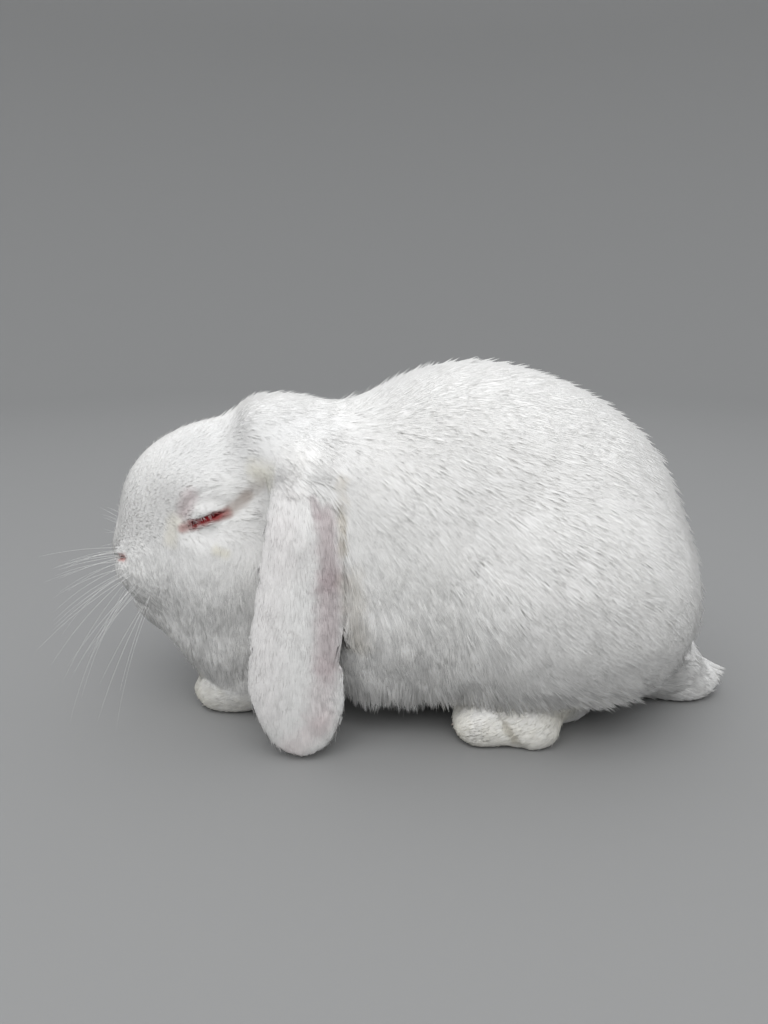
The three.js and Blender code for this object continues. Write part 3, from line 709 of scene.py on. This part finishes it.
def grow_locks(name, here, bed, count, unwrap, seed,
               bunching=0.3, wander=1.0, stray=0.028, stray_rise=2.6):
    """One piece of coat: this many locks rooted in the skin marked here and laid over the bed."""
    rng = np.random.default_rng(seed)
    chosen = skin_triangles[here]
    a, b, c = (skin[chosen[:, k]] for k in range(3))
    weight = np.linalg.norm(np.cross(b - a, c - a), axis=1) * crowding[chosen].mean(1)
    pick = rng.choice(len(chosen), count, p=weight / weight.sum())
    share = rng.dirichlet((1, 1, 1), count)

    def here_of(values):
        """Values at the skin's points, taken at each lock's root."""
        corners = values[chosen[pick]]
        return (corners * share.reshape(share.shape + (1,) * (corners.ndim - 2))).sum(1)

    # Which way each lock runs and how long it is.
    root, up, way = here_of(skin), unit(here_of(normals)), here_of(lie)
    length, width, depth = here_of(lock_length), here_of(lock_width), here_of(lock_height)
    rough = here_of(shag)
    length = length * rng.uniform(0.75, 1.25, count) * (1 + 0.2 * ripple(root, 9, seed + 1))
    length *= 1 + 0.5 * here_of(freedom)
    turn = np.radians(7) * ripple(root, 34, 5) + np.radians(9) * ripple(root, 9, 6)
    turn *= 0.4 + 0.6 * rough
    turn = (turn + rng.normal(size=count) * np.radians(4 + 4 * rough)) * wander
    way = unit(way - up * (way * up).sum(1)[:, None])
    side = np.cross(up, way)
    way = way * np.cos(turn)[:, None] + side * np.sin(turn)[:, None]

    ground = np.unique(skin_triangles[bed])
    nearest_ground = nearest_among(ground, skin[ground])

    def over_skin(points, height):
        """The points moved to this share of the coat's depth, and whether they lie in a slit."""
        nearest = nearest_ground(points)
        above = ((points - skin[nearest]) * normals[nearest]).sum(1)
        wanted = lock_height[nearest] * height
        return points + normals[nearest] * (wanted - above)[:, None], slit[nearest] > 0.3

    # The middle and the tip follow the form below them, and a few stray tips stand out.
    stand = MIDDLE_HEIGHT + rng.uniform(-0.12, 0.1, count) * rough
    middle, middle_in_slit = over_skin(root + way * (MIDDLE_ALONG * length)[:, None], stand)
    stand = rng.uniform(-0.08, 0.08, count) + 0.08 * ripple(root, 7, seed + 2)
    stand = TIP_HEIGHT + stand * (0.2 + 0.8 * rough)
    strays = rng.random(count) < stray
    stand += rng.uniform(0.2, 1.0, count) * strays * stray_rise / depth
    tip, tip_in_slit = over_skin(root + way * length[:, None], stand)
    free = here_of(freedom)[:, None]
    drop = unit(way + up * (0.22 + 1.1 * np.maximum(-up[:, 2:], 0)))
    tip += (root + drop * length[:, None] - tip) * free

    # Locks bunch together: each is drawn towards the nearest of a few leaders.
    leaders = np.arange(0, count, LOCKS_TO_A_LEADER)
    leader = nearest_among(leaders, root[leaders])(root)
    pull = np.minimum(bunching * (0.3 + rough) + 0.4 * free[:, 0], 0.7)[:, None]
    pull = pull * rng.uniform(0.5, 1.2, (count, 1))
    middle += (middle[leader] - middle) * pull * 0.35
    tip += (tip[leader] - tip) * pull

    # Each lock is a closed sliver with four corners, all in the same order seen from outside.
    side = unit(np.cross(up, unit(tip - middle)))
    roll = (rng.normal(size=count) * np.radians(3 + 12 * rough))[:, None]
    width = width * rng.uniform(0.7, 1.25, count) * (1 - 0.45 * strays) * (1.35 - 0.35 * rough)
    side = (side * np.cos(roll) + up * np.sin(roll)) * (width / 2)[:, None]
    points = np.stack([root - up * ROOT_DEPTH, middle + side, middle - side, tip], 1)
    edges = points[:, 1:] - points[:, :1]
    inside_out = (np.cross(edges[:, 0], edges[:, 1]) * edges[:, 2]).sum(1) < 0
    points[inside_out] = points[inside_out][:, [0, 2, 1, 3]]
    points[:, :, 2] = np.maximum(points[:, :, 2], COAT_OVER_FLOOR)

    sound = well_laid(root, middle, tip, up, length, depth) & ~(middle_in_slit | tip_in_slit)
    points, root, up, rough = points[sound], root[sound], here_of(soft_normals)[sound], rough[sound]
    faces = np.arange(len(points))[:, None, None] * 4 + LOCK_FACES
    mesh = mesh_from(name, points.reshape(-1, 3), faces.reshape(-1, 3))
    softness = SOFTNESS + (SHAGGY_SOFTNESS - SOFTNESS) * rough
    shading = np.repeat(lock_normals(points, up, softness[:, None, None]), 3, 1)
    mesh.normals_split_custom_set(shading.reshape(-1, 3).astype(np.float32))
    corners = lock_patches(root, unwrap)[:, LOCK_FACES.ravel()]
    layer = mesh.uv_layers.new(name="OFBake")
    layer.data.foreach_set("uv", corners.astype(np.float32).ravel())

    # Bunches differ a little in brightness at random, and a painted shade darkens them overall; both
    # are most where the coat is broken into strands.
    shades = rng.uniform(-1, 1, count)
    # the shift below zero is painted shade: it darkens the coat, most where it is broken into strands
    shades = (0.45 * shades + 0.9 * shades[leader] - 0.2)[sound]
    tone_and_shade = np.repeat(shades * (0.15 + 2.9 * rough ** 1.3), 4)
    mesh.attributes.new("tone_and_shade", "FLOAT", "POINT").data.foreach_set("value", tone_and_shade.astype(np.float32))
    return place(name, mesh, coat_material)


# The middle lines that the coat is unwrapped round, and what parts the unwrapped sides.
BODY_AXIS, HEAD_AXIS, FACE_AXIS, FOOT_AXIS = 75, 80, 78, 8
EAR_ACROSS, EAR_ALONG = 53, -53
FORE_FOOT, HIND_FOOT, BETWEEN_FEET = (14, -80), (40, 40), -30
SIDES_APART, FEET_APART = 7, 130


def round_body(axis):
    """Unwraps the left or right half of the body: from nose to tail, and from back to belly."""
    return lambda root: np.stack([root[:, 1], np.arctan2(np.abs(root[:, 0]), root[:, 2] - axis)], 1)


def round_face(root):
    """Unwraps the face round the line of the muzzle: nose to brow, and all the way round."""
    return np.stack([root[:, 1], np.arctan2(root[:, 0], root[:, 2] - FACE_AXIS)], 1)


def round_ears(root):
    """Unwraps both ears side by side: down each ear, and round its middle line."""
    turn = np.arctan2(np.abs(root[:, 0]) - EAR_ACROSS, root[:, 1] - EAR_ALONG)
    return np.stack([turn + SIDES_APART * (root[:, 0] > 0), root[:, 2]], 1)


def round_feet(root):
    """Unwraps the four feet side by side: along each foot, and round its middle line."""
    hind = root[:, 1] > BETWEEN_FEET
    across, along = (np.where(hind, *pair) for pair in zip(HIND_FOOT, FORE_FOOT))
    turn = np.arctan2(np.abs(root[:, 0]) - across, root[:, 2] - FOOT_AXIS)
    return np.stack([turn + SIDES_APART * (root[:, 0] > 0), root[:, 1] - along + FEET_APART * hind], 1)


middle = skin[skin_triangles].mean(1)
ear_here = on_ear[skin_triangles].mean(1) > 0.5
foot_here = (on_foot[skin_triangles].mean(1) > 0.5) & ~ear_here
rest_here = ~ear_here & ~foot_here
head_here = rest_here & (on_head[skin_triangles].mean(1) > 0.5)
face_here = head_here & (middle[:, 1] < -94)
head_here &= ~face_here
fore_here = rest_here & ~head_here & ~face_here & (middle[:, 1] < 8)
hind_here = rest_here & ~head_here & ~face_here & ~fore_here
for side, sign in SIDES.items():
    half = middle[:, 0] * sign >= 0
    grow_locks(f"coat_head_{side}", head_here & half, rest_here, 40000, round_body(HEAD_AXIS),
               11 + sign, stray=0.035, stray_rise=1.8)
    grow_locks(f"coat_fore_{side}", fore_here & half, rest_here, 39000, round_body(BODY_AXIS),
               21 + sign)
    grow_locks(f"coat_hind_{side}", hind_here & half, rest_here, 46000, round_body(BODY_AXIS),
               31 + sign)
grow_locks("coat_face", face_here, rest_here, 49000, round_face, 61,
           bunching=0.25, wander=0.8, stray=0.03, stray_rise=1.3)
grow_locks("coat_ears", ear_here, ear_here, 46000, round_ears, 41,
           bunching=0.15, wander=0.6, stray=0.02, stray_rise=0.7)
grow_locks("coat_feet", foot_here, foot_here, 26000, round_feet, 51, stray_rise=1.2)


# --- Eyes --------------------------------------------------------------------------------------
# A ball behind nearly shut lids, red all over since there is no pigment anywhere in it: dark
# red sclera, ruby iris and deeper pupil. The cornea bulges a little in front of the iris.

IRIS_ANGLE, PUPIL_ANGLE = math.radians(42), math.radians(15)
SCLERA, IRIS, IRIS_STREAKS = (0.42, 0.04, 0.04, 1), (0.36, 0.018, 0.024, 1), (0.30, 0.03, 0.03, 1)
PUPIL = (0.24, 0.01, 0.014, 1)
BALL_INSET, CORNEA_BULGE = 0.15, 0.45
EYE_RINGS, EYE_SPOKES = 35, 48

eye_material, start = new_material("eye")
folded = place_on(start)[1]
seen = folded.vector("SUBTRACT", tuple(EYE_CENTRE * MM)).vector("NORMALIZE")
turned = seen.vector("DOT_PRODUCT", tuple(EYE_AXIS), output=1)
angle = turned.math("ARCCOSINE", turned)
streaks = seen.noise(1.2 / EYE_RADIUS / MM, 3.0)
colour = start.mixed(angle.smooth(IRIS_ANGLE + 0.1, IRIS_ANGLE - 0.04), SCLERA, IRIS)
colour = start.mixed((streaks - 0.35) * 0.3, colour, IRIS_STREAKS)
colour = start.mixed(angle.smooth(PUPIL_ANGLE + 0.04, PUPIL_ANGLE - 0.04), colour, PUPIL)
finish_material(start, {"Base Color": colour, "Roughness": 0.4, "Specular IOR Level": 0.2})


def closed_rings(rings, spokes):
    """Faces of a closed body with a point at either end and rings of points between them."""
    here = np.arange(spokes)
    after = (here + 1) % spokes
    faces = [np.stack([np.zeros_like(here), 1 + after, 1 + here], 1)]
    for ring in range(rings - 1):
        near, far = 1 + ring * spokes, 1 + (ring + 1) * spokes
        faces += [np.stack([near + here, near + after, far + after], 1),
                  np.stack([near + here, far + after, far + here], 1)]
    last = 1 + (rings - 1) * spokes
    faces.append(np.stack([last + here, last + after, np.full_like(here, last + spokes)], 1))
    return np.concatenate(faces)


for side, sign in SIDES.items():
    centre, out, back, up = eye_frame(sign)
    tilt = (np.arange(1, EYE_RINGS + 1) / (EYE_RINGS + 1) * math.pi)[:, None]
    turn = (np.arange(EYE_SPOKES) / EYE_SPOKES * math.tau)[None, :]
    radius = EYE_RADIUS - BALL_INSET + CORNEA_BULGE * ease(tilt, IRIS_ANGLE, 0)
    rings = (centre + out * (radius * np.cos(tilt) * np.ones_like(turn))[..., None]
             + back * (radius * np.sin(tilt) * np.cos(turn))[..., None]
             + up * (radius * np.sin(tilt) * np.sin(turn))[..., None])
    ball = np.vstack([
        centre + out * (EYE_RADIUS - BALL_INSET + CORNEA_BULGE),
        rings.reshape(-1, 3),
        centre - out * (EYE_RADIUS - BALL_INSET),
    ])
    faces = closed_rings(EYE_RINGS, EYE_SPOKES)
    if np.dot(np.cross(back, up), out) > 0:
        faces = faces[:, ::-1]
    ball_mesh = mesh_from(f"eyeball_{side}", ball, faces)
    eye_piece = place(f"eyeball_{side}", ball_mesh, eye_material)
    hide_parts(f"eye_{side}")


# --- Lashes and whiskers -----------------------------------------------------------------------
# Stiff white hairs, each one rooted in the skin and drawn out to a point. Lashes reach down over
# the slit from the upper lid, and whiskers sweep forward, out and down from the muzzle's pads.

# A strand's two ways across it are worked out from this slanting one.
ASKEW = (0.31, 0.17, 0.94)


def strands(name, paths, thickness, sides, material):
    """Closed tapering tubes along some paths, all with as many points, as one piece."""
    count, steps = paths.shape[:2]
    ahead = unit(np.gradient(paths, axis=1))
    across = unit(np.cross(ahead, ASKEW))
    above = np.cross(across, ahead)
    thin = thickness[:, None] / 2 * (1 - 0.85 * np.linspace(0, 1, steps)[None, :-1] ** 1.3)
    turn = np.arange(sides) / sides * math.tau
    ring = across[:, :-1, None] * np.cos(turn)[:, None] + above[:, :-1, None] * np.sin(turn)[:, None]
    rings = paths[:, :-1, None] + ring * thin[:, :, None, None]
    points = np.concatenate([paths[:, :1], rings.reshape(count, -1, 3), paths[:, -1:]], 1)
    faces = closed_rings(steps - 1, sides) + np.arange(count)[:, None, None] * points.shape[1]
    mesh = mesh_from(name, points.reshape(-1, 3), faces.reshape(-1, 3))
    layer = mesh.uv_layers.new(name="OFBake")
    corner = np.stack([np.arange(count) % 16, np.arange(count) // 16], 1) / 16 + 0.02
    along = np.linspace(0, PATCH_SIZE, points.shape[1])
    corners = (corner[:, None] + np.stack([along, along ** 2], 1)).reshape(-1, 2)
    layer.data.foreach_set("uv", corners[faces.reshape(-1)].astype(np.float32).ravel())
    return place(name, mesh, material)


def nearest_skin(points):
    """The skin's points nearest to some others, by number."""
    return np.array([np.argmin(((skin - point) ** 2).sum(1)) for point in points])


hair_material, start = new_material("stiff_hair")
finish_material(start, {
    "Base Color": (0.93, 0.925, 0.91, 1), "Roughness": 0.4, "Specular IOR Level": 0.5})

LASHES, LASH_POINTS = 26, 6
WHISKERS, WHISKER_POINTS = 34, 14
FOREMOST, OUTERMOST, LOWEST = -155.5, 78, 2.5
for side, sign in SIDES.items():
    rng = np.random.default_rng(61 + sign)
    centre, out, back, up = eye_frame(sign)
    run = np.clip(rng.normal(1.5, 4.5, LASHES), -8, 10)[:, None]
    above = rng.uniform(1.3, 2.6, (LASHES, 1)) - SLIT_DROP
    depth = np.sqrt(np.maximum((EYE_RADIUS + 0.7) ** 2 - run ** 2 - above ** 2, 9))
    root = centre + back * run + up * above + out * depth
    way = out * 0.75 - up * rng.uniform(0.45, 0.8, (LASHES, 1))
    way = unit(way + back * rng.normal(0.3, 0.35, (LASHES, 1)))
    share = np.linspace(0, 1, LASH_POINTS)[None, :, None]
    length = rng.uniform(1.8, 4.8, (LASHES, 1, 1))
    paths = root[:, None] + way[:, None] * length * share - up * share ** 2 * length * 0.35
    thickness = rng.uniform(0.06, 0.12, LASHES)
    strands(f"lashes_{side}", paths, thickness, 3, hair_material)

    pad = np.stack([
        rng.uniform(8, 22, WHISKERS) * sign,
        rng.uniform(-138, -119, WHISKERS),
        np.linspace(77, 55, WHISKERS) + rng.uniform(-2, 2, WHISKERS)], 1)
    rooted = nearest_skin(pad)
    root, away = skin[rooted] - normals[rooted] * 0.5, normals[rooted]
    fall = np.radians(np.linspace(-22, 74, WHISKERS) + rng.uniform(-9, 9, WHISKERS))[:, None]
    way = np.array([0, -1, 0]) * np.cos(fall) + np.array([0, 0, -1]) * np.sin(fall)
    way = unit(way + np.array([sign, 0, 0]) * rng.uniform(0.35, 0.9, (WHISKERS, 1)) + away * 0.4)
    length = rng.uniform(34, 58, (WHISKERS, 1, 1))
    share = np.linspace(0, 1, WHISKER_POINTS)[None, :, None]
    sag = np.array([0, 0.10, -0.16]) * rng.uniform(0.4, 1.3, (WHISKERS, 1, 1))
    for _ in range(12):
        paths = root[:, None] + way[:, None] * length * share + sag * length * share ** 2
        beyond = (paths[..., 1] < FOREMOST) | (np.abs(paths[..., 0]) > OUTERMOST)
        beyond |= paths[..., 2] < LOWEST
        length = np.where(beyond.any(1)[:, None, None], length * 0.9, length)
    thickness = rng.uniform(0.10, 0.18, WHISKERS)
    strands(f"whiskers_{side}", paths, thickness, 4, hair_material)


# --- Claws -------------------------------------------------------------------------------------
# Pale horn, curved and narrowed to a blunt point, each growing out of the end of its toe. Most
# of each claw is in the hair of the foot.

CLAW_THICKNESS, CLAW_BURIED, CLAW_ARCH, CLAW_POINTS = 2.1, 4.5, 1.6, 9
OUTER_TOE = 47
HORN_PALE, HORN_PINK = (0.85, 0.75, 0.67, 1), (0.74, 0.60, 0.52, 1)

claw_material, start = new_material("claw")
horn = start.mixed(start.node("TexCoord", output=3).noise(1.5), HORN_PINK, HORN_PALE)
finish_material(start, {"Base Color": horn, "Roughness": 0.38})
share = np.linspace(0, 1, CLAW_POINTS)[:, None]
for kind, name in (("foreleg", "claws_fore"), ("hind_foot", "claws_hind")):
    for side in SIDES:
        nodes = [f"{kind}_claw_{side}_{number}" for number in (1, 2, 3, 4)]
        paths = []
        for node in nodes:
            low, high = (np.array(corner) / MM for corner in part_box(node))
            across = (low[0] + high[0]) / 2
            across -= math.copysign(max(abs(across) - OUTER_TOE, 0) * 0.55, across)
            tip = np.array([across, low[1] + 4.2, low[2] + 0.2])
            root = np.array([tip[0], high[1] + CLAW_BURIED, high[2] - 0.6])
            arch = np.array([0, 0, CLAW_ARCH]) * share * (1 - share) * 2
            paths.append(root + (tip - root) * share + arch)
        thickness = np.full(len(nodes), CLAW_THICKNESS)
        claws = strands(f"{name}_{side}", np.array(paths), thickness, 10, claw_material)
        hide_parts(*nodes)


# --- Floor and light --------------------------------------------------------------------------
# A grey round studio bowl: a flat floor swept up into a wall, open above to a soft overcast
# sky, with one broad lamp nearly overhead on the rabbit's left.

BOWL_REACH, BOWL_BEND, BOWL_HEIGHT = 1700, 700, 960
BEND_STEPS, BOWL_SPOKES = 24, 96
BOWL_GREY = (0.28, 0.28, 0.277, 1)

profile = [(share * (BOWL_REACH - BOWL_BEND), 0) for share in (0.3, 0.6, 0.9, 0.97, 1)]
for step in range(1, BEND_STEPS + 1):
    turn = math.pi / 2 * step / BEND_STEPS
    profile.append((BOWL_REACH - BOWL_BEND * (1 - math.sin(turn)), BOWL_BEND * (1 - math.cos(turn))))
profile.append((BOWL_REACH, BOWL_HEIGHT))
turns = np.arange(BOWL_SPOKES) * math.tau / BOWL_SPOKES
bowl = np.concatenate([
    [(r * np.cos(turn), r * np.sin(turn), z) for turn in turns] for r, z in profile
])
first = np.arange(len(profile) - 1)[:, None] * BOWL_SPOKES
here = np.arange(BOWL_SPOKES)
after = (here + 1) % BOWL_SPOKES
quads = np.stack([first + here, first + after, first + BOWL_SPOKES + after, first + BOWL_SPOKES + here], 2)
sweep = mesh_from("floor", bowl, quads.reshape(-1, 4))
bm = bmesh.new()
bm.from_mesh(sweep)
bm.verts.ensure_lookup_table()
bm.faces.new([bm.verts[index] for index in range(BOWL_SPOKES)])
bm.to_mesh(sweep)
bm.free()
floor_material, start = new_material("floor")
finish_material(start, {"Base Color": BOWL_GREY, "Roughness": 0.8})
sweep.materials.append(floor_material)
floor = bpy.data.objects.new("floor", sweep)
bpy.context.collection.objects.link(floor)

LAMP_PLACE, LAMP_TARGET = Vector((0.75, -0.15, 1.3)), Vector((0, 0, 0.05))
LAMP_SIZE, LAMP_POWER = 1.6, 11.5
SKY, SKY_STRENGTH = (0.95, 0.97, 1, 1), 1.0

lamp_data = bpy.data.lights.new("overcast", "AREA")
lamp_data.shape = "DISK"
lamp_data.size = LAMP_SIZE
lamp_data.energy = LAMP_POWER
lamp = bpy.data.objects.new("overcast", lamp_data)
lamp.location = LAMP_PLACE
lamp.rotation_euler = (LAMP_PLACE - LAMP_TARGET).to_track_quat("Z", "Y").to_euler()
bpy.context.collection.objects.link(lamp)
world = bpy.data.worlds.new("world")
world.use_nodes = True
background = world.node_tree.nodes["Background"]
background.inputs["Color"].default_value = SKY
background.inputs["Strength"].default_value = SKY_STRENGTH
bpy.context.scene.world = world
bpy.context.scene.view_settings.view_transform = "Standard"
